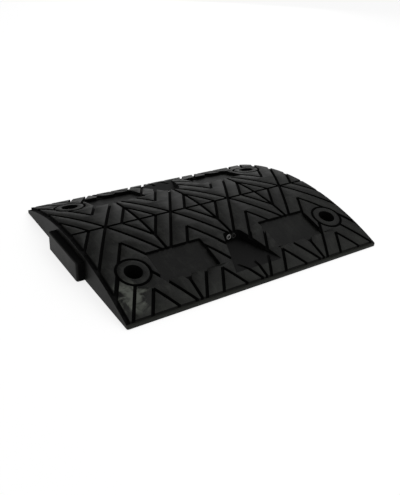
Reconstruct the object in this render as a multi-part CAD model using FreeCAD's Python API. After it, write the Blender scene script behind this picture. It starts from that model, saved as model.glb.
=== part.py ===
import FreeCAD, Part
import math
import os

from FreeCAD import Vector

# Middle module of a bolt-down rubber road hump.
# X runs across the lane, along the row of modules; traffic crosses along Y; Z is up.
# The origin is on the ground, under the middle of the tread.
# All sizes are millimetres, all angles degrees.

# Moulding
LENGTH = 500.0            # between the two end faces, X
WIDTH = 404.0             # between the two long lips, Y
BASE_CROWN = 45.5         # height of the moulding under the tread, at its crown
LIP_HEIGHT = 5.0          # height of the moulding at its long lips
CORNER_RADIUS = 3.0       # upright corners of the moulding

# Tread
TREAD_CROWN = 4.7         # relief above the moulding at the crown
TREAD_TOE = 4.5           # relief at the tread's long edges
END_LEDGE = 6.0           # bare ledge beside each end face
LIP_LEDGE = 3.0           # bare ledge beside each long lip

# Groove lattice
PITCH = 123.9             # along X
LATTICE_ANGLE = 60.0      # slanting grooves, from X
GROOVE_WIDTH = 5.0
DIAMOND_HALF = 32.6       # half width of the small diamonds on the crown

# Ground bolts
BOLT_INSET_X = 51.5       # from the end faces
BOLT_INSET_Y = 80.0       # from the long lips
WELL_RADIUS = 14.4        # recess for the bolt head
WELL_FLOOR = 11.0         # rubber left under the washer
BOLT_HOLE_RADIUS = 7.0
RING_RADIUS = 26.7        # middle of the ring groove round each well
RING_WIDTH = 4.2

# Load washers
WASHER_RADIUS = 14.0
WASHER_HOLE_RADIUS = 6.8
WASHER_THICKNESS = 3.0

# Beds for reflective film
BED_INNER_X = 60.5
BED_LENGTH_X = 102.5
BED_UPPER_Y = 91.0
BED_SPAN_Y = 63.5
BED_SINK = 2.0            # how far the toe of the bed lies under the moulding's surface
BED_CORNER_RADIUS = 3.0

# Cat's-eye pockets
POCKET_BACK_Y = 95.0      # top of the upright wall
POCKET_TOE_Y = 178.0      # where the floor runs out on the tread
POCKET_DEPTH = 16.3
POCKET_BACK_HALF = 16.5   # half width at the top of the wall
POCKET_TOE_HALF = 46.5    # half width at the toe
POCKET_LEAN = 15.0        # lean of the wall from upright
POCKET_DRAFT = 9.0       # lean of the two sides from upright
POCKET_CORNER_RADIUS = 7.0

# Cat's-eye beads in their sleeves
BEAD_SPACING = 10.0
BEAD_HEIGHT = 32.6
BEAD_RADIUS = 3.75
BEAD_LENGTH = 9.0
BEAD_CONE = 1.9           # height of the front's cone
SLEEVE_WALL = 0.9
SLEEVE_LENGTH = 12.0
BEAD_CLEARANCE = 0.05     # bead in sleeve, and sleeve in rubber, on the radius

# Coupling tongue and socket
TONGUE_REACH = 13.0
TONGUE_WIDTH = 117.0
TONGUE_HEIGHT = 33.5
TONGUE_CORNER_RADIUS = 4.0
TONGUE_BEVEL = 1.5        # along its top edges
COUPLING_CLEARANCE = 1.5

# Derived
BOLT_SPACING_X = LENGTH - 2.0 * BOLT_INSET_X
BOLT_SPACING_Y = WIDTH - 2.0 * BOLT_INSET_Y
HALF_LENGTH = LENGTH / 2.0
HALF_WIDTH = WIDTH / 2.0
TREAD_HALF_LENGTH = HALF_LENGTH - END_LEDGE
TREAD_HALF_WIDTH = HALF_WIDTH - LIP_LEDGE
ROW = PITCH / 2.0 * math.tan(math.radians(LATTICE_ANGLE))
COLUMNS = math.ceil(HALF_LENGTH / PITCH)
ROWS = math.ceil(HALF_WIDTH / ROW)
CLEAR = 10.0              # how far cutters run past what they cut
ABOVE = BASE_CROWN + TREAD_CROWN + CLEAR


def arc_height(y, crown, toe, half):
    """Height at y of the arc from (-half, toe) over (0, crown) to (half, toe)."""
    rise = crown - toe
    radius = (half ** 2 + rise ** 2) / (2.0 * rise)
    return crown - radius + math.sqrt(radius ** 2 - y ** 2)


def moulding_z(y):
    return arc_height(y, BASE_CROWN, LIP_HEIGHT, HALF_WIDTH)


TREAD_TOP = BASE_CROWN + TREAD_CROWN
TREAD_TOE_TOP = moulding_z(TREAD_HALF_WIDTH) + TREAD_TOE


def tread_z(y):
    return arc_height(y, TREAD_TOP, TREAD_TOE_TOP, TREAD_HALF_WIDTH)


def face_of(points):
    return Part.Face(Part.makePolygon(list(points) + [points[0]]))


def hump_block(half_length, half_width, surface):
    """Extrude the arched section under surface(y), from z = 0, along X."""
    left = Vector(-half_length, -half_width, surface(half_width))
    top = Vector(-half_length, 0.0, surface(0.0))
    right = Vector(-half_length, half_width, surface(half_width))
    foot_right = Vector(-half_length, half_width, 0.0)
    foot_left = Vector(-half_length, -half_width, 0.0)
    edges = [
        Part.Arc(left, top, right).toShape(),
        Part.makeLine(right, foot_right),
        Part.makeLine(foot_right, foot_left),
        Part.makeLine(foot_left, left),
    ]
    section = Part.Face(Part.Wire(edges))
    return section.extrude(Vector(2.0 * half_length, 0.0, 0.0))


def bar(start, end):
    """Upright cutter, one groove wide, along the line from start to end."""
    along = Vector(end[0] - start[0], end[1] - start[1], 0.0)
    length = along.Length
    cutter = Part.makeBox(length, GROOVE_WIDTH, ABOVE, Vector(0.0, -GROOVE_WIDTH / 2.0, 0.0))
    cutter.rotate(Vector(0, 0, 0), Vector(0, 0, 1), math.degrees(math.atan2(along.y, along.x)))
    cutter.translate(Vector(start[0], start[1], 0.0))
    return cutter


def row_lines(x, y, side):
    """Grooves of the lattice cell whose foot is at (x, y), on one side of the crown."""
    half = PITCH / 2.0
    diamond_foot = DIAMOND_HALF * math.tan(math.radians(LATTICE_ANGLE))
    up = side * ROW
    lines = [((x, y), (x, y + up))]
    for hand in (-1.0, 1.0):
        lines.append(((x + hand * half, y), (x, y + up)))
        lines.append(((x + hand * DIAMOND_HALF, y), (x, y + side * diamond_foot)))
        lines.append(((x + half, y + up / 2.0), (x + half + hand * half, y + 1.5 * up)))
    return lines


def lattice_lines():
    lines = [((-HALF_LENGTH, 0.0), (HALF_LENGTH, 0.0))]
    for side in (-1.0, 1.0):
        for row in range(ROWS):
            for column in range(-COLUMNS - 1, COLUMNS + 1):
                lines += row_lines(column * PITCH, side * row * ROW, side)
    return lines


def corners_of(half_x, half_y):
    return [(sx * half_x, sy * half_y) for sx in (-1.0, 1.0) for sy in (-1.0, 1.0)]


BOLTS = corners_of(BOLT_SPACING_X / 2.0, BOLT_SPACING_Y / 2.0)


def column_at(place, radius, z_low, z_high):
    return Part.makeCylinder(radius, z_high - z_low, Vector(place[0], place[1], z_low))


def rounded_box(size, low, radius):
    """Box with its upright edges rounded."""
    box = Part.makeBox(size.x, size.y, size.z, low)
    return box.makeFillet(radius, upright_edges(box))


def upright_edges(shape):
    return [e for e in shape.Edges if abs(e.tangentAt(e.FirstParameter).z) > 0.999]


def bed_cutter(side_x, side_y):
    """Recess for one sheet of film: level with the groove floors at its upper edge."""
    toe_y = BED_UPPER_Y + BED_SPAN_Y
    low = Vector(BED_INNER_X, BED_UPPER_Y, 0.0)
    block = rounded_box(Vector(BED_LENGTH_X, BED_SPAN_Y, ABOVE), low, BED_CORNER_RADIUS)
    upper_z = moulding_z(BED_UPPER_Y)
    toe_z = moulding_z(toe_y) - BED_SINK
    slope = (toe_z - upper_z) / BED_SPAN_Y
    under = face_of([
        Vector(0.0, BED_UPPER_Y - CLEAR, upper_z - slope * CLEAR),
        Vector(0.0, toe_y + CLEAR, toe_z + slope * CLEAR),
        Vector(0.0, toe_y + CLEAR, -CLEAR),
        Vector(0.0, BED_UPPER_Y - CLEAR, -CLEAR),
    ])
    block = block.cut(under.extrude(Vector(HALF_LENGTH, 0.0, 0.0)))
    return mirrored(block, side_x, side_y)


def mirrored(shape, side_x, side_y):
    if side_x < 0:
        shape = shape.mirror(Vector(0, 0, 0), Vector(1, 0, 0))
    if side_y < 0:
        shape = shape.mirror(Vector(0, 0, 0), Vector(0, 1, 0))
    return shape


def pocket_back_y(z):
    return POCKET_BACK_Y + (tread_z(POCKET_BACK_Y) - z) * math.tan(math.radians(POCKET_LEAN))


def pocket_half(y, z):
    """Half width of the pocket at y and z: the sides are flat, drafted and splayed."""
    draft = math.tan(math.radians(POCKET_DRAFT))
    top = tread_z(POCKET_BACK_Y)
    toe = tread_z(POCKET_TOE_Y)
    widening = POCKET_TOE_HALF - POCKET_BACK_HALF + draft * (top - toe)
    splay = widening / (POCKET_TOE_Y - POCKET_BACK_Y)
    return POCKET_BACK_HALF + splay * (y - POCKET_BACK_Y) - draft * (top - z)


def pocket_floor(y):
    """Height of the flat floor, from the foot of the wall out to the toe."""
    foot_z = tread_z(POCKET_BACK_Y) - POCKET_DEPTH
    foot_y = pocket_back_y(foot_z)
    toe_z = tread_z(POCKET_TOE_Y)
    return foot_z + (toe_z - foot_z) * (y - foot_y) / (POCKET_TOE_Y - foot_y)


def pocket_cutter():
    """The wedge-shaped pocket of the +Y slope, without its beads."""
    far_y = HALF_WIDTH + CLEAR
    foot_z = tread_z(POCKET_BACK_Y) - POCKET_DEPTH
    foot_y = pocket_back_y(foot_z)
    high_y = pocket_back_y(ABOVE)

    def corner(side, y, z):
        return Vector(side * pocket_half(y, z), y, z)

    low = [(foot_y, foot_z), (far_y, pocket_floor(far_y))]
    high = [(high_y, ABOVE), (far_y, ABOVE)]
    ring = [corner(s, y, z) for s, (y, z) in ((-1, low[0]), (1, low[0]), (1, low[1]), (-1, low[1]))]
    lid = [corner(s, y, z) for s, (y, z) in ((-1, high[0]), (1, high[0]), (1, high[1]), (-1, high[1]))]
    faces = [face_of(ring), face_of(lid)]
    for i in range(4):
        j = (i + 1) % 4
        faces.append(face_of([ring[i], ring[j], lid[j], lid[i]]))
    wedge = Part.makeSolid(Part.makeShell(faces))
    back = [e for e in wedge.Edges if is_between(e, ring[0], lid[0]) or is_between(e, ring[1], lid[1])]
    return wedge.makeFillet(POCKET_CORNER_RADIUS, back)


def is_between(edge, a, b):
    ends = [v.Point for v in edge.Vertexes]
    near = 1e-6
    same = ends[0].distanceToPoint(a) < near and ends[1].distanceToPoint(b) < near
    swapped = ends[0].distanceToPoint(b) < near and ends[1].distanceToPoint(a) < near
    return same or swapped


SLEEVE_RADIUS = BEAD_RADIUS + BEAD_CLEARANCE + SLEEVE_WALL
SLEEVE_MOUTH_Y = pocket_back_y(BEAD_HEIGHT - SLEEVE_RADIUS)
SLEEVE_BACK_Y = SLEEVE_MOUTH_Y - SLEEVE_LENGTH


def turned(profile, x):
    """Revolve (radius, y) points and arcs about the bead's axis at x, on the +Y slope."""
    axis = Vector(x, 0.0, BEAD_HEIGHT)
    wire = Part.Wire(profile)
    wire.translate(axis)
    return Part.Face(wire).revolve(axis, Vector(0, 1, 0), 360.0)


def sleeve(x):
    """Drawn steel cup that holds one bead."""
    inner = SLEEVE_RADIUS - SLEEVE_WALL
    outer = SLEEVE_RADIUS
    points = [
        Vector(0.0, SLEEVE_BACK_Y, 0.0),
        Vector(outer, SLEEVE_BACK_Y, 0.0),
        Vector(outer, SLEEVE_MOUTH_Y, 0.0),
        Vector(inner, SLEEVE_MOUTH_Y, 0.0),
        Vector(inner, SLEEVE_BACK_Y + SLEEVE_WALL, 0.0),
        Vector(0.0, SLEEVE_BACK_Y + SLEEVE_WALL, 0.0),
    ]
    return turned(Part.makePolygon(points + [points[0]]).Edges, x)


def bead(x):
    """Glass bead: a short rod, flat on its silvered back, with a shallow cone for its front."""
    back_y = SLEEVE_BACK_Y + SLEEVE_WALL
    front_y = back_y + BEAD_LENGTH
    points = [
        Vector(0.0, back_y, 0.0),
        Vector(BEAD_RADIUS, back_y, 0.0),
        Vector(BEAD_RADIUS, front_y - BEAD_CONE, 0.0),
        Vector(0.0, front_y, 0.0),
    ]
    return turned(Part.makePolygon(points + [points[0]]).Edges, x)


def sleeve_bore(x):
    """Hole in the rubber for one sleeve, open to the pocket."""
    radius = SLEEVE_RADIUS + BEAD_CLEARANCE
    start = Vector(x, SLEEVE_BACK_Y, BEAD_HEIGHT)
    return Part.makeCylinder(radius, SLEEVE_LENGTH + CLEAR, start, Vector(0, 1, 0))


def tongue():
    size = Vector(2.0 * TONGUE_REACH, TONGUE_WIDTH, TONGUE_HEIGHT)
    low = Vector(-HALF_LENGTH - TONGUE_REACH, -TONGUE_WIDTH / 2.0, 0.0)
    block = rounded_box(size, low, TONGUE_CORNER_RADIUS)
    rim = [e for e in block.Edges if is_top_edge(e)]
    return block.makeChamfer(TONGUE_BEVEL, rim)


def is_top_edge(edge):
    return all(abs(v.Z - TONGUE_HEIGHT) < 1e-6 for v in edge.Vertexes)


def socket():
    """Recess for the next module's tongue, open below and at the end face."""
    depth = TONGUE_REACH + COUPLING_CLEARANCE
    width = TONGUE_WIDTH + 2.0 * COUPLING_CLEARANCE
    height = TONGUE_HEIGHT + COUPLING_CLEARANCE
    low = Vector(HALF_LENGTH - depth, -width / 2.0, -height)
    return rounded_box(Vector(2.0 * depth, width, 2.0 * height), low, TONGUE_CORNER_RADIUS)


def tread():
    """Raised tread: one arched block, cut through by the groove lattice and the rings."""
    block = hump_block(TREAD_HALF_LENGTH, TREAD_HALF_WIDTH, tread_z)
    inner = RING_RADIUS - RING_WIDTH / 2.0
    outer = RING_RADIUS + RING_WIDTH / 2.0
    bosses = [column_at(b, inner, 0.0, ABOVE) for b in BOLTS]
    bars = [bar(start, end) for start, end in lattice_lines()]
    grooves = bars[0].fuse(bars[1:] + [column_at(b, outer, 0.0, ABOVE) for b in BOLTS])
    grooves = grooves.cut(Part.makeCompound(bosses))
    return block.cut(grooves)


def hump_body():
    moulding = hump_block(HALF_LENGTH, HALF_WIDTH, moulding_z)
    moulding = moulding.makeFillet(CORNER_RADIUS, upright_edges(moulding))
    body = moulding.fuse([tread(), tongue()])
    cutters = [socket()]
    cutters += [bed_cutter(sx, sy) for sx, sy in corners_of(1.0, 1.0)]
    cutters += [column_at(b, WELL_RADIUS, WELL_FLOOR, ABOVE) for b in BOLTS]
    cutters += [column_at(b, BOLT_HOLE_RADIUS, -CLEAR, ABOVE) for b in BOLTS]
    for side_y in (-1.0, 1.0):
        cutters.append(mirrored(pocket_cutter(), 1.0, side_y))
        for hand in (-1.0, 1.0):
            cutters.append(mirrored(sleeve_bore(hand * BEAD_SPACING / 2.0), 1.0, side_y))
    body = body.cut(cutters)
    return body.removeSplitter()


def washer(place):
    disc = column_at(place, WASHER_RADIUS, WELL_FLOOR, WELL_FLOOR + WASHER_THICKNESS)
    return disc.cut(column_at(place, WASHER_HOLE_RADIUS, 0.0, ABOVE))


def build_parts():
    parts = {"hump_body": hump_body()}
    for end_name, side_y in (("front", -1.0), ("rear", 1.0)):
        for side_name, side_x in (("left", -1.0), ("right", 1.0)):
            x = side_x * BEAD_SPACING / 2.0
            parts[end_name + "_sleeve_" + side_name] = mirrored(sleeve(x), 1.0, side_y)
            parts[end_name + "_bead_" + side_name] = mirrored(bead(x), 1.0, side_y)
            place = (side_x * BOLT_SPACING_X / 2.0, side_y * BOLT_SPACING_Y / 2.0)
            parts["washer_" + end_name + "_" + side_name] = washer(place)
    return parts


os.makedirs("parts", exist_ok=True)
for node, shape in build_parts().items():
    if shape.ShapeType != "Solid" and len(shape.Solids) == 1:
        shape = shape.Solids[0]
    shape.exportStep("parts/" + node + ".step")
    box = shape.BoundBox
    print(node, shape.ShapeType, len(shape.Faces), shape.isValid(), round(shape.Volume),
          [round(v, 2) for v in (box.XMin, box.XMax, box.YMin, box.YMax, box.ZMin, box.ZMax)])
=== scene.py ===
import math

import bmesh
import bpy
from bpy.props import FloatProperty, FloatVectorProperty, IntProperty, PointerProperty
from mathutils import Euler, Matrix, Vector
from mathutils.bvhtree import BVHTree


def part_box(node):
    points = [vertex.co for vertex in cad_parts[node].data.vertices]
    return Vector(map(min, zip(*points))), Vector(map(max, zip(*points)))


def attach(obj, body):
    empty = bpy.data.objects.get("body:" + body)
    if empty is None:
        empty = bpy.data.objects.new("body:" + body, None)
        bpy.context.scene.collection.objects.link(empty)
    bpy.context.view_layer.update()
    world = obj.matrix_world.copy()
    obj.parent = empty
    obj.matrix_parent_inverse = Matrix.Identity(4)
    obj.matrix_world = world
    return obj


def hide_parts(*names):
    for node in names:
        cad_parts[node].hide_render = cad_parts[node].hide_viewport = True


bl_info = {
    "name": "Rubber Road Hump Module",
    "version": (1, 0, 0),
    "blender": (4, 5, 0),
    "location": "3D View > Sidebar > Road Hump",
    "description": "Finishes the middle module of a bolt-down rubber road hump",
    "category": "Object",
}

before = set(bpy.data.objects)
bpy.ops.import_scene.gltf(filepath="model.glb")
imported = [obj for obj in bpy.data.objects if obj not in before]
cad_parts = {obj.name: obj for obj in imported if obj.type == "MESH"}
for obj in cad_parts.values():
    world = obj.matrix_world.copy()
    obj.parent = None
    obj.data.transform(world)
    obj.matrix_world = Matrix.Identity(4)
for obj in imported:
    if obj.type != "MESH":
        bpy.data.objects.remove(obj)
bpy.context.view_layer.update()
MM = 0.001

BODY = "hump_body"
WASHERS = ("washer_front_left", "washer_front_right", "washer_rear_left", "washer_rear_right")
SLEEVES = ("front_sleeve_left", "front_sleeve_right", "rear_sleeve_left", "rear_sleeve_right")
BEADS = ("front_bead_left", "front_bead_right", "rear_bead_left", "rear_bead_right")

OPEN_ATTRIBUTE = "open_to_wear"         # on each face of the rubber: 0 shut in, 1 in the open; it sets wear, and painted shade in the hollows
MERGE_DISTANCE = 0.002 * MM             # corners this near are one corner of the moulding
FLAT_ANGLE = math.radians(0.2)          # triangles this nearly level are one face
SHARP_ANGLE = math.radians(25.0)        # edges sharper than this are rounded
SHADE_OFFSET = 0.05 * MM                # how far off a face its sky rays start
RIM_DEPTH = 1.0 * MM                    # length of a sleeve that stands clear of the bond
RIM_FADE = 0.3 * MM                     # length over which the bond's black gives way to it
LEDGE_FADE = 0.2                        # share of the ledge over which its dust and painted light fade in
LIP_PLAIN = 0.5 * MM                    # below the lip's edge by this, its face has neither dust nor painted light
LIP_FULL = 0.2 * MM                    # and up from here it has as much dust and painted light as the ledge
PAIR_FADE = 0.2 * MM                    # half width of the change between a pair's two inserts
PATCH_CORE = 0.5                        # share of the dust patch's reach that is fully dusty
DUST_DULLS = 0.4                        # roughness that a full coat of dust adds
SATIN_LESS = 0.05                       # the tops' roughness strays from its setting
SATIN_MORE = 0.07                       # by this much, down and up
EDGE_SHARE = 0.3                        # a sleeve's edges are rounded by this share of its wall

# Settings that several nodes share
ADDED = {"operation": "ADD"}
LESS = {"operation": "SUBTRACT"}
TIMES = {"operation": "MULTIPLY"}
OVER = {"operation": "DIVIDE"}
LARGER = {"operation": "MAXIMUM"}
UNSIGNED = {"operation": "ABSOLUTE"}
SIDE = {"operation": "SIGN"}
SMOOTH = {"interpolation_type": "SMOOTHSTEP"}
COLOURS = {"data_type": "RGBA"}


def node_size(node):
    low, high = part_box(node)
    return high - low


def node_centre(node):
    low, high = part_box(node)
    return (low + high) / 2.0


def hole_radius(node):
    """Radius of the hole through a washer: its vertex nearest to its axis."""
    centre = node_centre(node)
    spots = [v.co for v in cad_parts[node].data.vertices]
    return min(math.hypot(p.x - centre.x, p.y - centre.y) for p in spots)


def lip_height():
    """Height of the upright face along the moulding's long sides."""
    inside = HALF_WIDTH - MERGE_DISTANCE
    return max(v.co.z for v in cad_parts[BODY].data.vertices if v.co.y > inside)


WASHER_SIZE = node_size(WASHERS[0])
SLEEVE_SIZE = node_size(SLEEVES[0])
BEAD_SIZE = node_size(BEADS[0])
HALF_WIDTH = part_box(BODY)[1].y
LIP_HEIGHT = lip_height()


# ---------------------------------------------------------------- colours and nodes


def from_hex(code):
    """Linear RGBA of an sRGB hex colour."""
    parts = [int(code[i:i + 2], 16) / 255.0 for i in (1, 3, 5)]
    lin = [c / 12.92 if c <= 0.04045 else ((c + 0.055) / 1.055) ** 2.4 for c in parts]
    return (*lin, 1.0)


def add(tree, kind, settings=None, **inputs):
    """Add a node. Settings are its own properties. An input is named by its label, or by i and
    its number, and is a value, a socket, a node that stands for its first output in use, or a
    list of such links."""
    node = tree.nodes.new(kind)
    for key, value in (settings or {}).items():
        setattr(node, key, value)
    for key, value in inputs.items():
        socket = node.inputs[int(key[1:]) if key[-1].isdigit() else key.replace("_", " ")]
        for item in value if isinstance(value, list) else [value]:
            if isinstance(item, bpy.types.Node):
                item = next(output for output in item.outputs if output.enabled)
            if isinstance(item, bpy.types.NodeSocket):
                tree.links.new(item, socket)
            else:
                socket.default_value = item
    return node


def new_material(name):
    material = bpy.data.materials.new(name)
    material.use_nodes = True
    material.node_tree.nodes.clear()
    return material, material.node_tree


def per_mm(size_mm):
    """Noise scale, in cycles per metre, whose features are about size_mm across."""
    return 1.0 / (size_mm * MM)


# ---------------------------------------------------------------- materials


def rubber_material(settings, name, rubber_colour):
    """Compression-moulded recycled rubber: near black, with a fine crumb grain. The tread's tops
    are rubbed to a satin that greys at a low angle. The crumb grains and the dust show only on
    faces open to the sky, so the grooves and hollows stay dead black: partly the mould's finish,
    partly painted shade. The crumbs are drawn coarser than real ones, which would be too fine to
    show."""
    material, tree = new_material(name)
    coords = add(tree, "ShaderNodeTexCoord").outputs["Object"]
    lie = add(tree, "ShaderNodeAttribute", {"attribute_name": OPEN_ATTRIBUTE}).outputs["Fac"]
    bare = add(tree, "ShaderNodeMapRange", SMOOTH, Value=lie, From_Min=settings.sheltered,
               From_Max=settings.open_air)
    # rubbed is 1 on faces open to the sky. There the tops wear to a satin, and only there do the
    # crumb grains and the dust show, so the hollows keep a darker colour: painted shade.
    rubbed = add(tree, "ShaderNodeMapRange", SMOOTH, Value=lie, From_Min=settings.open_air,
                 From_Max=1.0)
    crumb = add(tree, "ShaderNodeTexNoise", Vector=coords, Scale=per_mm(1.4), Detail=4.0,
                Roughness=0.65)
    cloud = add(tree, "ShaderNodeTexNoise", Vector=coords, Scale=per_mm(60.0), Detail=5.0,
                Roughness=0.6)
    dust = dust_and_painted_light_mask(tree, coords, rubbed, settings)

    grains = add(tree, "ShaderNodeMapRange", Value=crumb, From_Min=0.38, From_Max=0.66)
    grains = add(tree, "ShaderNodeMath", TIMES, i0=grains, i1=rubbed)
    rubber = add(tree, "ShaderNodeMix", COLOURS, i0=grains, i6=(*rubber_colour, 1.0),
                 i7=(*settings.crumb_colour, 1.0))
    # The dust colour here is partly real dust and partly painted light, on the toe strips and the
    # ledges.
    colour = add(tree, "ShaderNodeMix", COLOURS, i0=dust, i6=rubber,
                 i7=(*settings.dust_and_painted_light_colour, 1.0))

    satin = add(tree, "ShaderNodeMapRange", Value=cloud, From_Min=0.3, From_Max=0.7,
                To_Min=settings.top_roughness - SATIN_LESS,
                To_Max=settings.top_roughness + SATIN_MORE)
    plain = add(tree, "ShaderNodeMapRange", Value=bare, To_Min=settings.groove_roughness,
                To_Max=settings.plain_roughness)
    gloss = add(tree, "ShaderNodeMapRange", Value=rubbed, To_Min=plain, To_Max=satin)
    gloss = add(tree, "ShaderNodeMath", {"operation": "MULTIPLY_ADD", "use_clamp": True},
                i0=dust, i1=DUST_DULLS, i2=gloss)
    grain = add(tree, "ShaderNodeBump", Height=crumb, Strength=settings.grain_strength,
                Distance=0.12 * MM)
    shader = add(tree, "ShaderNodeBsdfPrincipled", Base_Color=colour, Roughness=gloss,
                 IOR=settings.rubber_ior, Normal=grain)
    add(tree, "ShaderNodeOutputMaterial", Surface=shader)
    return material


def dust_and_painted_light_mask(tree, coords, rubbed, settings):
    """Where road dust lies, with painted light: a trace and tyre scuffs over the tops, smeared
    wisps in one patch, and a paler strip along both long sides and on the ledge at the foot of
    the tread, which is dust and also painted light that lifts places the lights barely reach."""
    place = add(tree, "ShaderNodeMapping", Vector=coords,
                Location=tuple(-c for c in settings.dust_place))
    away = add(tree, "ShaderNodeVectorMath", {"operation": "LENGTH"}, i0=place)
    patch = add(tree, "ShaderNodeMapRange", SMOOTH, Value=away,
                From_Min=settings.dust_reach * PATCH_CORE, From_Max=settings.dust_reach,
                To_Min=settings.dust_amount, To_Max=0.0)
    smear = add(tree, "ShaderNodeTexNoise", Vector=coords, Scale=per_mm(26.0), Detail=3.0,
                Roughness=0.55, Distortion=0.6)
    wisps = add(tree, "ShaderNodeMapRange", Value=smear, From_Min=0.47, From_Max=0.6)
    wisps = add(tree, "ShaderNodeMath", TIMES, i0=wisps, i1=patch)
    trace = add(tree, "ShaderNodeMapRange", Value=smear, From_Min=0.5, From_Max=0.8,
                To_Max=settings.settled)
    along_traffic = add(tree, "ShaderNodeMapping", Vector=coords, Scale=(1.0, 0.3, 1.0))
    scuffs = add(tree, "ShaderNodeTexNoise", Vector=along_traffic, Scale=per_mm(9.0),
                 Detail=5.0, Roughness=0.65)
    scuffs = add(tree, "ShaderNodeMapRange", Value=scuffs, From_Min=0.5, From_Max=0.72,
                 To_Max=settings.scuffs)
    across = add(tree, "ShaderNodeSeparateXYZ", Vector=coords).outputs["Y"]
    outwards = add(tree, "ShaderNodeMath", UNSIGNED, i0=across)
    # Paler strip along both long sides: dust that tyres leave, and painted light on the steep toe,
    # which the key light barely reaches.
    toe = add(tree, "ShaderNodeMapRange", SMOOTH, Value=outwards,
              From_Min=HALF_WIDTH - settings.toe_reach, From_Max=HALF_WIDTH,
              To_Max=settings.toe_dust_and_painted_light)
    dust = wisps
    for layer in (trace, scuffs, toe):
        dust = add(tree, "ShaderNodeMath", ADDED, i0=dust, i1=layer)
    dust = add(tree, "ShaderNodeMath", TIMES, i0=dust, i1=rubbed)
    return add(tree, "ShaderNodeMath", ADDED, i0=dust, i1=ledge_dust_and_painted_light(tree, coords, settings))


def ledge_dust_and_painted_light(tree, coords, settings):
    """Dust and painted light on the narrow ledge at the foot of the tread, along both long sides:
    a paler colour that lifts the ledge where the tread's wall shades it. It thins out up the
    tread's wall and doesn't reach down the upright face of the lip."""
    place = add(tree, "ShaderNodeSeparateXYZ", Vector=coords).outputs
    outwards = add(tree, "ShaderNodeMath", UNSIGNED, i0=place["Y"])
    band = add(tree, "ShaderNodeMapRange", SMOOTH, Value=outwards,
               From_Min=HALF_WIDTH - settings.ledge_width,
               From_Max=HALF_WIDTH - settings.ledge_width * (1.0 - LEDGE_FADE),
               To_Max=settings.ledge_dust_and_painted_light)
    above = add(tree, "ShaderNodeMapRange", SMOOTH, Value=place["Z"],
                From_Min=LIP_HEIGHT - LIP_PLAIN, From_Max=LIP_HEIGHT - LIP_FULL)
    below = add(tree, "ShaderNodeMapRange", SMOOTH, Value=place["Z"], From_Min=LIP_HEIGHT,
                From_Max=LIP_HEIGHT + settings.wall_height, To_Min=1.0, To_Max=0.0)
    strip = add(tree, "ShaderNodeMath", TIMES, i0=above, i1=below)
    return add(tree, "ShaderNodeMath", TIMES, i0=band, i1=strip)


def zinc_material():
    """Zinc-plated steel: a soft grey metal with faint blotches of plating."""
    material, tree = new_material("zinc_plated_steel")
    coords = add(tree, "ShaderNodeTexCoord").outputs["Object"]
    bloom = add(tree, "ShaderNodeTexNoise", Vector=coords, Scale=per_mm(5.0), Detail=4.0)
    blotch = add(tree, "ShaderNodeMapRange", Value=bloom, From_Min=0.3, From_Max=0.7)
    tone = add(tree, "ShaderNodeMix", COLOURS, i0=blotch, i6=from_hex("#8d9091"),
               i7=from_hex("#b3b5b4"))
    gloss = add(tree, "ShaderNodeMapRange", Value=bloom, To_Min=0.28, To_Max=0.5)
    shader = add(tree, "ShaderNodeBsdfPrincipled", Base_Color=tone, Metallic=1.0,
                 Roughness=gloss)
    add(tree, "ShaderNodeOutputMaterial", Surface=shader)
    return material


def enamelled_steel_material():
    """Deep-drawn steel cup with a white enamelled rim: pale and softly glossy, with fine rings
    left by the drawing punch, black with bonding film behind the rim, and made dark on the one
    at +X of each pair. The rings are drawn coarser than real ones, which would be too fine to
    show."""
    material, tree = new_material("white_enamelled_drawn_steel")
    coords = add(tree, "ShaderNodeTexCoord").outputs["Object"]
    squeezed = add(tree, "ShaderNodeMapping", Vector=coords, Scale=(0.2, 1.0, 0.2))
    rings = add(tree, "ShaderNodeTexNoise", Vector=squeezed, Scale=per_mm(0.4), Detail=2.0)
    gloss = add(tree, "ShaderNodeMapRange", Value=rings, To_Min=0.35, To_Max=0.55)
    pale = add(tree, "ShaderNodeMapRange", Value=rings, From_Min=0.2, From_Max=0.8)
    enamel = add(tree, "ShaderNodeMix", COLOURS, i0=pale, i6=from_hex("#efefec"),
                 i7=from_hex("#f9f9f7"))
    # On the insert at +X of each pair the colour is simply made dark; behind the rim it is black
    # bonding film.
    film = add(tree, "ShaderNodeMath", LARGER, i0=plus_x_darkening(tree, coords),
               i1=behind_rim(tree, coords))
    tone = add(tree, "ShaderNodeMix", COLOURS, i0=film, i6=enamel, i7=from_hex("#070706"))
    dull = add(tree, "ShaderNodeMath", LARGER, i0=gloss, i1=film)
    marks = add(tree, "ShaderNodeBump", Height=rings, Strength=0.15, Distance=0.05 * MM)
    shader = add(tree, "ShaderNodeBsdfPrincipled", Base_Color=tone, Roughness=dull,
                 Normal=marks)
    add(tree, "ShaderNodeOutputMaterial", Surface=shader)
    return material


def behind_rim(tree, coords):
    """1 on the sleeves' cups, which are bonded into the rubber, and 0 on their rims."""
    across = add(tree, "ShaderNodeSeparateXYZ", Vector=coords).outputs["Y"]
    outwards = add(tree, "ShaderNodeMath", UNSIGNED, i0=across)
    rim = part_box(SLEEVES[-1])[1].y - RIM_DEPTH
    return add(tree, "ShaderNodeMapRange", SMOOTH, Value=outwards, From_Min=rim - RIM_FADE,
               From_Max=rim, To_Min=1.0, To_Max=0.0)


def plus_x_darkening(tree, coords):
    """Darkening on the inserts at +X of each pair, blotched and a little less dark in places."""
    along = add(tree, "ShaderNodeSeparateXYZ", Vector=coords).outputs["X"]
    side = add(tree, "ShaderNodeMapRange", SMOOTH, Value=along, From_Min=-PAIR_FADE,
               From_Max=PAIR_FADE)
    blotch = add(tree, "ShaderNodeTexNoise", Vector=coords, Scale=per_mm(3.0), Detail=3.0)
    film = add(tree, "ShaderNodeMapRange", Value=blotch, To_Min=0.8, To_Max=1.0)
    return add(tree, "ShaderNodeMath", TIMES, i0=side, i1=film)


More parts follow.
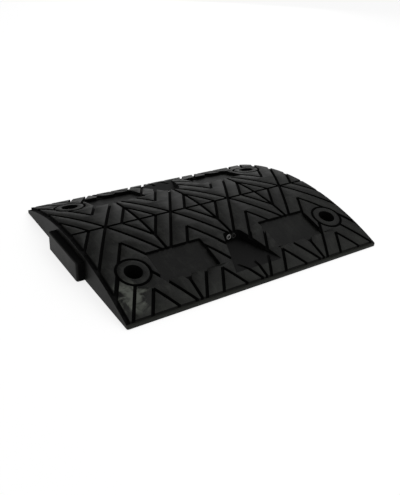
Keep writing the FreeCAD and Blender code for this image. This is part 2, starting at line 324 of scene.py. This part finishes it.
def glass_material():
    """Pressed soda-lime glass over a silvered back, under a hard gloss. Its pale grey-green is
    the glass's tint together with a painted reflection of the silvered back. The insert at +X
    of each pair is made dark, as the sleeves are."""
    material, tree = new_material("pressed_soda_lime_glass")
    coords = add(tree, "ShaderNodeTexCoord").outputs["Object"]
    haze = add(tree, "ShaderNodeTexNoise", Vector=coords, Scale=per_mm(2.5), Detail=3.0)
    pale = add(tree, "ShaderNodeMapRange", Value=haze, From_Min=0.3, From_Max=0.75)
    # Pale grey-green: the glass's tint and a painted reflection of the silvered back, made pale
    # enough to show in the sleeve's shade.
    tint_and_painted_mirror = add(tree, "ShaderNodeMix", COLOURS, i0=pale, i6=from_hex("#b4bbb7"),
                i7=from_hex("#dfe5e1"))
    # film here is only the darkening of the insert at +X of each pair.
    film = plus_x_darkening(tree, coords)
    tone = add(tree, "ShaderNodeMix", COLOURS, i0=film, i6=tint_and_painted_mirror, i7=from_hex("#070705"))
    gloss = add(tree, "ShaderNodeMapRange", Value=haze, To_Min=0.04, To_Max=0.14)
    dull = add(tree, "ShaderNodeMath", LARGER, i0=gloss, i1=film)
    polish = add(tree, "ShaderNodeMapRange", Value=film, To_Min=0.6, To_Max=0.0)
    shader = add(tree, "ShaderNodeBsdfPrincipled", Base_Color=tone, Roughness=dull, IOR=1.52,
                 Coat_Weight=polish)
    add(tree, "ShaderNodeOutputMaterial", Surface=shader)
    return material


def floor_material(settings):
    """Matt white paint: pale, shadowed by the object, and lit up to white where it is seen."""
    material, tree = new_material("matt_painted_floor")
    paint = add(tree, "ShaderNodeBsdfDiffuse", Color=(*settings.floor_colour, 1.0))
    rays = add(tree, "ShaderNodeLightPath").outputs
    seen = add(tree, "ShaderNodeMath", LARGER, i0=rays["Is Camera Ray"],
               i1=rays["Is Transmission Ray"])
    mirrored = add(tree, "ShaderNodeMath", TIMES, i0=rays["Is Glossy Ray"],
                   i1=settings.floor_in_gloss)
    seen = add(tree, "ShaderNodeMath", LARGER, i0=seen, i1=mirrored)
    level = add(tree, "ShaderNodeMath", TIMES, i0=seen, i1=settings.floor_glow)
    glow = add(tree, "ShaderNodeEmission", Color=from_hex("#ffffff"), Strength=level)
    both = add(tree, "ShaderNodeAddShader", i0=paint, i1=glow)
    add(tree, "ShaderNodeOutputMaterial", Surface=both)
    return material


# ---------------------------------------------------------------- geometry trees


def node_group(name, inputs):
    """Geometry tree with named inputs, each (name, socket kind, default)."""
    tree = bpy.data.node_groups.new(name, "GeometryNodeTree")
    tree.interface.new_socket("Geometry", in_out="OUTPUT", socket_type="NodeSocketGeometry")
    for label, kind, default in inputs:
        socket = tree.interface.new_socket(label, in_out="INPUT", socket_type="NodeSocket" + kind)
        if default is not None:
            socket.default_value = default
    return tree, tree.nodes.new("NodeGroupInput").outputs


def close_tree(tree, geometry, material):
    """End a tree: real geometry, with its material."""
    real = add(tree, "GeometryNodeRealizeInstances", Geometry=geometry)
    dressed = add(tree, "GeometryNodeSetMaterial", Geometry=real, Material=material)
    add(tree, "NodeGroupOutput", Geometry=dressed)


def made_by(tree, name, values):
    """Run a tree once with these input values and keep its result as a plain mesh object."""
    holder = bpy.data.objects.new(name, bpy.data.meshes.new(name))
    bpy.context.scene.collection.objects.link(holder)
    modifier = holder.modifiers.new("Build", "NODES")
    modifier.node_group = tree
    for item in tree.interface.items_tree:
        if item.in_out == "INPUT" and item.name in values:
            modifier[item.identifier] = values[item.name]
    depsgraph = bpy.context.evaluated_depsgraph_get()
    mesh = bpy.data.meshes.new_from_object(holder.evaluated_get(depsgraph))
    holder.modifiers.remove(modifier)
    holder.data = mesh
    mesh.name = name
    return holder


def corner_grid(tree, span_x, span_y, height):
    """Four points at the corners of a rectangle, at one height."""
    grid = add(tree, "GeometryNodeMeshGrid", Size_X=span_x, Size_Y=span_y, Vertices_X=2,
               Vertices_Y=2)
    lift = add(tree, "ShaderNodeCombineXYZ", Z=height)
    return add(tree, "GeometryNodeSetPosition", Geometry=grid, Offset=lift)


def ring_section(tree, inner, outer, length, edge, segments):
    """Ring about Z from z = 0 to length, with its section's corners rounded by edge."""
    width = add(tree, "ShaderNodeMath", LESS, i0=outer, i1=inner)
    across = add(tree, "ShaderNodeMath", ADDED, i0=outer, i1=inner)
    middle = add(tree, "ShaderNodeMath", TIMES, i0=across, i1=0.5)
    circle = add(tree, "GeometryNodeCurvePrimitiveCircle", Radius=middle, Resolution=segments)
    section = add(tree, "GeometryNodeCurvePrimitiveQuadrilateral", Width=width, Height=length)
    rounded = add(tree, "GeometryNodeFilletCurve", {"mode": "POLY"}, Curve=section, Radius=edge,
                  Count=3)
    ring = add(tree, "GeometryNodeCurveToMesh", Curve=circle, Profile_Curve=rounded)
    return lifted(tree, ring, add(tree, "ShaderNodeMath", TIMES, i0=length, i1=0.5))


def lifted(tree, geometry, height):
    """The geometry, moved up by height."""
    lift = add(tree, "ShaderNodeCombineXYZ", Z=height)
    return add(tree, "GeometryNodeTransform", Geometry=geometry, Translation=lift)


def facing_out(tree, points, geometry):
    """Instances of geometry, whose axis is +Z, laid along Y: outwards on both slopes."""
    place = add(tree, "GeometryNodeInputPosition")
    across = add(tree, "ShaderNodeSeparateXYZ", Vector=place).outputs["Y"]
    side = add(tree, "ShaderNodeMath", SIDE, i0=across)
    tilt = add(tree, "ShaderNodeMath", TIMES, i0=side, i1=-math.pi / 2.0)
    turn = add(tree, "ShaderNodeCombineXYZ", X=tilt)
    rotation = add(tree, "FunctionNodeEulerToRotation", Euler=turn)
    return add(tree, "GeometryNodeInstanceOnPoints", Points=points, Instance=geometry,
               Rotation=rotation)


def dress(piece, slot_name, *nodes):
    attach(piece, "root")
    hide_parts(*nodes)


# ---------------------------------------------------------------- settings


class HumpSettings(bpy.types.PropertyGroup):
    edge_round: FloatProperty(
        name="Edge rounding", description="Radius left on the rubber's moulded edges",
        default=0.5 * MM, min=0.0, max=2.0 * MM, precision=5, unit="LENGTH")
    grain_strength: FloatProperty(
        name="Grain", description="Depth of the crumb grain on the rubber",
        default=0.5, min=0.0, max=1.0, subtype="FACTOR")
    top_roughness: FloatProperty(
        name="Top roughness", description="How dull the rubbed tops of the tread are",
        default=0.4, min=0.1, max=0.9, subtype="FACTOR")
    # The openness that these set also gates colour: below open_air the crumb grains and the dust
    # fade out, so the hollows are painted darker as shade.
    shelter_reach: FloatProperty(
        name="Shelter reach", description="How near a wall shelters the rubber from wear",
        default=0.03, min=0.001, max=0.2, unit="LENGTH")
    sheltered: FloatProperty(
        name="Sheltered", description="Openness below which the rubber keeps its mould finish",
        default=0.72, min=0.0, max=1.0, subtype="FACTOR")
    open_air: FloatProperty(
        name="Open", description="Openness above which traffic rubs the rubber",
        default=0.895, min=0.0, max=1.0, subtype="FACTOR")
    plain_roughness: FloatProperty(
        name="Plain roughness", description="How dull the low and hidden surfaces are",
        default=0.6, min=0.1, max=1.0, subtype="FACTOR")
    groove_roughness: FloatProperty(
        name="Groove roughness", description="How dull the rubber is down in the grooves",
        default=0.95, min=0.1, max=1.0, subtype="FACTOR")
    rubber_ior: FloatProperty(
        name="Rubber IOR", description="Strength of the rubber's sheen",
        default=1.33, min=1.0, max=2.0)
    rubber_colour: FloatVectorProperty(
        name="Rubber", description="Colour of the moulded rubber",
        default=from_hex("#040404")[:3], min=0.0, max=1.0, subtype="COLOR")
    # The edges' paler colour is partly wear and partly a painted highlight along every rounded
    # edge.
    edge_wear_and_painted_highlight_colour: FloatVectorProperty(
        name="Edges", description="Colour of the rubbed edges",
        default=from_hex("#141413")[:3], min=0.0, max=1.0, subtype="COLOR")
    crumb_colour: FloatVectorProperty(
        name="Crumb", description="Colour of the paler grains in the rubber",
        default=from_hex("#20211d")[:3], min=0.0, max=1.0, subtype="COLOR")
    # The dust colour also serves the painted light on the toe strips and the ledges.
    dust_and_painted_light_colour: FloatVectorProperty(
        name="Dust", description="Colour of the dust rubbed into the tread",
        default=from_hex("#898d84")[:3], min=0.0, max=1.0, subtype="COLOR")
    dust_amount: FloatProperty(
        name="Dust amount", description="How much dust the dustiest patch carries",
        default=0.9, min=0.0, max=1.0, subtype="FACTOR")
    dust_place: FloatVectorProperty(
        name="Dust place", description="Middle of the dustiest patch",
        default=(-0.222, -0.163, 0.024), subtype="TRANSLATION", unit="LENGTH")
    dust_reach: FloatProperty(
        name="Dust reach", description="How far the dustiest patch reaches",
        default=0.038, min=0.01, max=0.5, unit="LENGTH")
    settled: FloatProperty(
        name="Settled dust", description="Dust spread over the whole tread",
        default=0.09, min=0.0, max=1.0, subtype="FACTOR")
    scuffs: FloatProperty(
        name="Scuffs", description="How pale the tyre scuffs along the traffic are",
        default=0.1, min=0.0, max=1.0, subtype="FACTOR")
    # Toe dust and its reach: dust that tyres leave, and painted light on the steep toe that the
    # key light barely reaches.
    toe_dust_and_painted_light: FloatProperty(
        name="Toe dust", description="Dust that tyres leave where they climb the hump",
        default=0.09, min=0.0, max=1.0, subtype="FACTOR")
    toe_reach: FloatProperty(
        name="Toe reach", description="Width of the dusty strip along both long sides",
        default=0.05, min=0.0, max=0.3, unit="LENGTH")
    # Lip dust, ledge width and wall height: dust and painted light on the ledge that the tread's
    # wall shades.
    ledge_dust_and_painted_light: FloatProperty(
        name="Lip dust", description="Dust caught on the ledge at the foot of the tread",
        default=0.2, min=0.0, max=1.0, subtype="FACTOR")
    ledge_width: FloatProperty(
        name="Ledge width", description="Width of the dusty ledge at the foot of the tread",
        default=3.5 * MM, min=0.5 * MM, max=20.0 * MM, precision=5, unit="LENGTH")
    wall_height: FloatProperty(
        name="Wall height", description="How far up the tread's wall the ledge's dust reaches",
        default=4.5 * MM, min=0.5 * MM, max=20.0 * MM, precision=5, unit="LENGTH")


class InsertSettings(bpy.types.PropertyGroup):
    segments: IntProperty(
        name="Segments", description="Facets round each washer, sleeve and bead",
        default=48, min=12, max=96)
    washer_edge: FloatProperty(
        name="Washer edge", description="Rounding of the washers' edges",
        default=0.4 * MM, min=0.0, max=1.0 * MM, precision=5, unit="LENGTH")
    sleeve_wall: FloatProperty(
        name="Sleeve wall", description="Thickness of the sleeves' sheet",
        default=0.9 * MM, min=0.3 * MM, max=1.5 * MM, precision=5, unit="LENGTH")
    rim_width: FloatProperty(
        name="Sleeve rim", description="Width of the sleeves' flat rim",
        default=1.9 * MM, min=0.5 * MM, max=2.5 * MM, precision=5, unit="LENGTH")
    dome_height: FloatProperty(
        name="Bead dome", description="How far the beads' ends bulge",
        default=1.9 * MM, min=0.2 * MM, max=4.0 * MM, precision=5, unit="LENGTH")


class StageSettings(bpy.types.PropertyGroup):
    floor_size: FloatProperty(
        name="Floor", description="Side of the studio floor", default=12.0, min=2.0, unit="LENGTH")
    floor_colour: FloatVectorProperty(
        name="Floor colour", description="Colour of the studio floor",
        default=from_hex("#e9e9e9")[:3], min=0.0, max=1.0, subtype="COLOR")
    floor_glow: FloatProperty(
        name="Floor glow", description="How much the white floor shines by itself",
        default=0.78, min=0.0, max=1.0, subtype="FACTOR")
    floor_in_gloss: FloatProperty(
        name="Floor in reflections", description="How much of that shine the reflections show",
        default=0.45, min=0.0, max=1.0, subtype="FACTOR")
    sky_level: FloatProperty(
        name="Room light", description="Brightness of the room round the object",
        default=0.2, min=0.0, max=2.0)
    key_power: FloatProperty(
        name="Key light", description="Power of the large soft light", default=6.5, min=0.0,
        unit="POWER")
    key_place: FloatVectorProperty(
        name="Key place", description="Where the large soft light hangs",
        default=(1.1, 0.1, 1.9), subtype="TRANSLATION", unit="LENGTH")
    key_size: FloatProperty(
        name="Key size", description="Side of the large soft light", default=2.0, min=0.1,
        unit="LENGTH")
    fill_power: FloatProperty(
        name="Fill light", description="Power of the second soft light", default=2.4, min=0.0,
        unit="POWER")
    fill_place: FloatVectorProperty(
        name="Fill place", description="Where the second soft light stands",
        default=(1.6, 2.4, 0.9), subtype="TRANSLATION", unit="LENGTH")
    fill_size: FloatProperty(
        name="Fill size", description="Side of the second soft light", default=1.6, min=0.1,
        unit="LENGTH")
    camera_place: FloatVectorProperty(
        name="Camera", description="Where the camera stands",
        default=(-0.5395, -0.77316, 0.50568), subtype="TRANSLATION", unit="LENGTH")
    camera_turn: FloatVectorProperty(
        name="Camera turn", description="The camera's rotation",
        default=(math.radians(59.925), math.radians(-3.188), math.radians(-33.370)),
        subtype="EULER", unit="ROTATION")
    camera_lens: FloatProperty(
        name="Lens", description="Focal length of the camera", default=42.217, min=10.0,
        unit="CAMERA")


# ---------------------------------------------------------------- rubber moulding


def sky_rays(rings=4, spokes=8):
    """Directions spread over the half space above +Z."""
    rays = []
    for ring in range(rings):
        lean = math.radians(90.0) * (ring + 0.5) / rings
        for spoke in range(spokes):
            turn = 2.0 * math.pi * (spoke + 0.5 * (ring % 2)) / spokes
            rays.append(Vector((math.sin(lean) * math.cos(turn), math.sin(lean) * math.sin(turn),
                                math.cos(lean))))
    return rays


def openness(tree, rays, corners, normal, reach):
    """Share of the rays from a triangle's middle that meet no rubber within reach."""
    turn = Vector((0.0, 0.0, 1.0)).rotation_difference(normal)
    start = (corners[0] + corners[1] + corners[2]) / 3.0 + normal * SHADE_OFFSET
    free = [ray for ray in rays if tree.ray_cast(start, turn @ ray, reach)[0] is None]
    return len(free) / len(rays)


def mark_open_faces(work, reach):
    """Store on each face how open it lies, averaged over its triangles by their area."""
    tree = BVHTree.FromBMesh(work)
    rays = sky_rays()
    total = {}
    for loops in work.calc_loop_triangles():
        face = loops[0].face
        corners = [loop.vert.co for loop in loops]
        area = (corners[1] - corners[0]).cross(corners[2] - corners[0]).length
        share, weight = total.get(face.index, (0.0, 0.0))
        found = openness(tree, rays, corners, face.normal, reach)
        total[face.index] = (share + area * found, weight + area)
    layer = work.faces.layers.float.new(OPEN_ATTRIBUTE)
    for face in work.faces:
        share, weight = total[face.index]
        face[layer] = share / weight if weight else 1.0


def weight_outer_edges(work):
    """Weigh for rounding the sharp edges that stand out; inner corners stay."""
    layer = work.edges.layers.float.new("bevel_weight_edge")
    for edge in work.edges:
        if len(edge.link_faces) == 2 and edge.calc_face_angle_signed() > SHARP_ANGLE:
            edge[layer] = 1.0


class HUMP_OT_rubber(bpy.types.Operator):
    """Make the rubber moulding, with its edges rounded as they leave the mould"""
    bl_idname = "hump.make_rubber"
    bl_label = "Rubber moulding"

    def execute(self, context):
        settings = context.scene.hump_rubber
        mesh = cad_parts[BODY].data.copy()
        mesh.name = "rubber_moulding"
        work = bmesh.new()
        work.from_mesh(mesh)
        bmesh.ops.remove_doubles(work, verts=work.verts, dist=MERGE_DISTANCE)
        bmesh.ops.dissolve_limit(work, angle_limit=FLAT_ANGLE, verts=work.verts,
                                 edges=work.edges)
        weight_outer_edges(work)
        work.faces.index_update()
        mark_open_faces(work, settings.shelter_reach)
        work.to_mesh(mesh)
        work.free()
        mesh.materials.clear()
        mesh.materials.append(rubber_material(
            settings, "compression_moulded_crumb_rubber", settings.rubber_colour))
        mesh.materials.append(rubber_material(
            settings, "compression_moulded_rubber_edge_wear_and_painted_highlight", settings.edge_wear_and_painted_highlight_colour))
        piece = bpy.data.objects.new("rubber_moulding", mesh)
        context.scene.collection.objects.link(piece)
        bevel = piece.modifiers.new("Moulded edges", "BEVEL")
        bevel.width = settings.edge_round
        bevel.segments = 2
        bevel.limit_method = "WEIGHT"
        # The rounded edges take the second material: a paler rubber that is wear and also a
        # painted highlight.
        bevel.material = 1
        bevel.use_clamp_overlap = False
        bevel.harden_normals = True
        dress(piece, "rubber", BODY)
        return {"FINISHED"}


# ---------------------------------------------------------------- inserts


class HUMP_OT_washers(bpy.types.Operator):
    """Make the four load washers at the bottom of the bolt wells"""
    bl_idname = "hump.make_washers"
    bl_label = "Load washers"

    def execute(self, context):
        settings = context.scene.hump_inserts
        tree, given = node_group("load_washers", [
            ("Spacing X", "Float", 0.4), ("Spacing Y", "Float", 0.25), ("Height", "Float", 0.015),
            ("Hole", "Float", 0.007), ("Radius", "Float", 0.013), ("Thickness", "Float", 0.003),
            ("Edge", "Float", 0.0004), ("Material", "Material", None)])
        ring = ring_section(tree, given["Hole"], given["Radius"], given["Thickness"],
                            given["Edge"], settings.segments)
        places = corner_grid(tree, given["Spacing X"], given["Spacing Y"], given["Height"])
        all_four = add(tree, "GeometryNodeInstanceOnPoints", Points=places, Instance=ring)
        close_tree(tree, all_four, given["Material"])
        first, last = node_centre(WASHERS[0]), node_centre(WASHERS[-1])
        piece = made_by(tree, "load_washers", {
            "Spacing X": last.x - first.x, "Spacing Y": last.y - first.y,
            "Height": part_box(WASHERS[0])[0].z, "Hole": hole_radius(WASHERS[0]),
            "Radius": WASHER_SIZE.x / 2.0, "Thickness": WASHER_SIZE.z,
            "Edge": settings.washer_edge, "Material": zinc_material()})
        dress(piece, "washer_steel", *WASHERS)
        return {"FINISHED"}


class HUMP_OT_sleeves(bpy.types.Operator):
    """Make the four drawn sleeves of the cat's-eye beads"""
    bl_idname = "hump.make_sleeves"
    bl_label = "Bead sleeves"

    def execute(self, context):
        settings = context.scene.hump_inserts
        tree, given = node_group("bead_sleeves", [
            ("Spacing X", "Float", 0.01), ("Spacing Y", "Float", 0.2), ("Height", "Float", 0.035),
            ("Radius", "Float", 0.0047), ("Length", "Float", 0.012), ("Wall", "Float", 0.0009),
            ("Rim", "Float", 0.0015), ("Material", "Material", None)])
        bore = add(tree, "ShaderNodeMath", LESS, i0=given["Radius"], i1=given["Wall"])
        mouth = add(tree, "ShaderNodeMath", LESS, i0=given["Radius"], i1=given["Rim"])
        edge = add(tree, "ShaderNodeMath", TIMES, i0=given["Wall"], i1=EDGE_SHARE)
        half_wall = add(tree, "ShaderNodeMath", TIMES, i0=given["Wall"], i1=0.5)
        rim_place = add(tree, "ShaderNodeMath", LESS, i0=given["Length"], i1=given["Wall"])
        tube = ring_section(tree, bore, given["Radius"], given["Length"], edge,
                            settings.segments)
        rim = ring_section(tree, mouth, given["Radius"], given["Wall"], edge, settings.segments)
        base = add(tree, "GeometryNodeMeshCylinder", Radius=given["Radius"],
                   Depth=given["Wall"], Vertices=settings.segments)
        cup = add(tree, "GeometryNodeJoinGeometry", Geometry=[
            tube, lifted(tree, rim, rim_place), lifted(tree, base, half_wall)])
        places = corner_grid(tree, given["Spacing X"], given["Spacing Y"], given["Height"])
        close_tree(tree, facing_out(tree, places, cup), given["Material"])
        centre = node_centre(SLEEVES[-1])
        piece = made_by(tree, "bead_sleeves", {
            "Spacing X": 2.0 * centre.x, "Spacing Y": 2.0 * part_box(SLEEVES[-1])[0].y,
            "Height": centre.z, "Radius": SLEEVE_SIZE.x / 2.0, "Length": SLEEVE_SIZE.y,
            "Wall": settings.sleeve_wall, "Rim": settings.rim_width,
            "Material": enamelled_steel_material()})
        dress(piece, "sleeve_steel", *SLEEVES)
        return {"FINISHED"}


class HUMP_OT_beads(bpy.types.Operator):
    """Make the four domed glass beads"""
    bl_idname = "hump.make_beads"
    bl_label = "Glass beads"

    def execute(self, context):
        settings = context.scene.hump_inserts
        tree, given = node_group("glass_beads", [
            ("Spacing X", "Float", 0.01), ("Spacing Y", "Float", 0.2), ("Height", "Float", 0.035),
            ("Radius", "Float", 0.00375), ("Length", "Float", 0.009), ("Dome", "Float", 0.0019),
            ("Material", "Material", None)])
        rings = settings.segments // 4 * 2 + 1      # odd, so that no corner is on the equator
        ball = add(tree, "GeometryNodeMeshUVSphere", Radius=given["Radius"],
                   Segments=settings.segments, Rings=rings)
        spot = add(tree, "GeometryNodeInputPosition")
        spot = add(tree, "ShaderNodeSeparateXYZ", Vector=spot).outputs
        squash = add(tree, "ShaderNodeMath", OVER, i0=given["Dome"], i1=given["Radius"])
        bulge = add(tree, "ShaderNodeMath", TIMES, i0=spot["Z"], i1=squash)
        half_length = add(tree, "ShaderNodeMath", TIMES, i0=given["Length"], i1=0.5)
        straight = add(tree, "ShaderNodeMath", LESS, i0=half_length, i1=given["Dome"])
        side = add(tree, "ShaderNodeMath", SIDE, i0=spot["Z"])
        height = add(tree, "ShaderNodeMath", TIMES, i0=side, i1=straight)
        height = add(tree, "ShaderNodeMath", ADDED, i0=bulge, i1=height)
        height = add(tree, "ShaderNodeMath", ADDED, i0=height, i1=half_length)
        target = add(tree, "ShaderNodeCombineXYZ", X=spot["X"], Y=spot["Y"], Z=height)
        rod = add(tree, "GeometryNodeSetPosition", Geometry=ball, Position=target)
        places = corner_grid(tree, given["Spacing X"], given["Spacing Y"], given["Height"])
        close_tree(tree, facing_out(tree, places, rod), given["Material"])
        centre = node_centre(BEADS[-1])
        piece = made_by(tree, "glass_beads", {
            "Spacing X": 2.0 * centre.x, "Spacing Y": 2.0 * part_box(BEADS[-1])[0].y,
            "Height": centre.z, "Radius": BEAD_SIZE.x / 2.0, "Length": BEAD_SIZE.y,
            "Dome": settings.dome_height, "Material": glass_material()})
        for polygon in piece.data.polygons:
            polygon.use_smooth = True
        dress(piece, "glass", *BEADS)
        return {"FINISHED"}


# ---------------------------------------------------------------- studio


def hang_softbox(scene, name, power, place, size):
    """Add a square soft light at place, aimed at the middle of the object's underside."""
    data = bpy.data.lights.new(name, "AREA")
    data.energy = power
    data.size = size
    lamp = bpy.data.objects.new(name, data)
    lamp.location = place
    lamp.rotation_euler = (-Vector(place)).to_track_quat("-Z", "Y").to_euler()
    scene.collection.objects.link(lamp)


class HUMP_OT_stage(bpy.types.Operator):
    """Set up the studio: pale floor, soft lights and the camera"""
    bl_idname = "hump.make_stage"
    bl_label = "Studio"

    def execute(self, context):
        settings = context.scene.hump_stage
        half = settings.floor_size / 2.0
        mesh = bpy.data.meshes.new("studio_floor")
        corners = [(-half, -half, 0.0), (half, -half, 0.0), (half, half, 0.0), (-half, half, 0.0)]
        mesh.from_pydata(corners, [], [(0, 1, 2, 3)])
        mesh.materials.append(floor_material(settings))
        floor = bpy.data.objects.new("studio_floor", mesh)
        context.scene.collection.objects.link(floor)

        world = bpy.data.worlds.new("studio_room")
        world.use_nodes = True
        tree = world.node_tree
        tree.nodes.clear()
        white = from_hex("#ffffff")
        room = add(tree, "ShaderNodeBackground", Color=white, Strength=settings.sky_level)
        backdrop = add(tree, "ShaderNodeBackground", Color=white, Strength=1.0)
        rays = add(tree, "ShaderNodeLightPath").outputs
        shown = add(tree, "ShaderNodeMixShader", i0=rays["Is Camera Ray"], i1=room, i2=backdrop)
        add(tree, "ShaderNodeOutputWorld", Surface=shown)
        context.scene.world = world

        hang_softbox(context.scene, "overhead_softbox", settings.key_power, settings.key_place,
                     settings.key_size)
        hang_softbox(context.scene, "rear_softbox", settings.fill_power, settings.fill_place,
                     settings.fill_size)

        data = bpy.data.cameras.new("studio_camera")
        data.lens = settings.camera_lens
        data.sensor_width = 36.0
        data.clip_end = 50.0
        camera = bpy.data.objects.new("studio_camera", data)
        camera.location = settings.camera_place
        camera.rotation_euler = Euler(settings.camera_turn)
        context.scene.collection.objects.link(camera)
        context.scene.camera = camera
        context.scene.view_settings.view_transform = "Standard"
        return {"FINISHED"}


# ---------------------------------------------------------------- add-on


class HUMP_PT_panel(bpy.types.Panel):
    """Sizes, colours and makers of the road hump's pieces"""
    bl_idname = "HUMP_PT_panel"
    bl_label = "Road Hump"
    bl_space_type = "VIEW_3D"
    bl_region_type = "UI"
    bl_category = "Road Hump"

    def draw(self, context):
        for owner, makers in MAKERS.items():
            box = self.layout.box()
            for maker in makers:
                box.operator(maker.bl_idname)
            settings = getattr(context.scene, owner)
            for key in settings.bl_rna.properties.keys():
                if key not in {"rna_type", "name"}:
                    box.prop(settings, key)


GROUPS = {"hump_rubber": HumpSettings, "hump_inserts": InsertSettings,
          "hump_stage": StageSettings}
MAKERS = {"hump_rubber": (HUMP_OT_rubber,),
          "hump_inserts": (HUMP_OT_washers, HUMP_OT_sleeves, HUMP_OT_beads),
          "hump_stage": (HUMP_OT_stage,)}
CLASSES = (*(maker for makers in MAKERS.values() for maker in makers), HUMP_PT_panel)


def register():
    for name, group in GROUPS.items():
        bpy.utils.register_class(group)
        setattr(bpy.types.Scene, name, PointerProperty(type=group))
    for cls in CLASSES:
        bpy.utils.register_class(cls)


def unregister():
    for cls in reversed(CLASSES):
        bpy.utils.unregister_class(cls)
    for name, group in reversed(GROUPS.items()):
        delattr(bpy.types.Scene, name)
        bpy.utils.unregister_class(group)


def main():
    register()
    bpy.ops.hump.make_rubber()
    bpy.ops.hump.make_washers()
    bpy.ops.hump.make_sleeves()
    bpy.ops.hump.make_beads()
    bpy.ops.hump.make_stage()


if __name__ == "__main__":
    main()
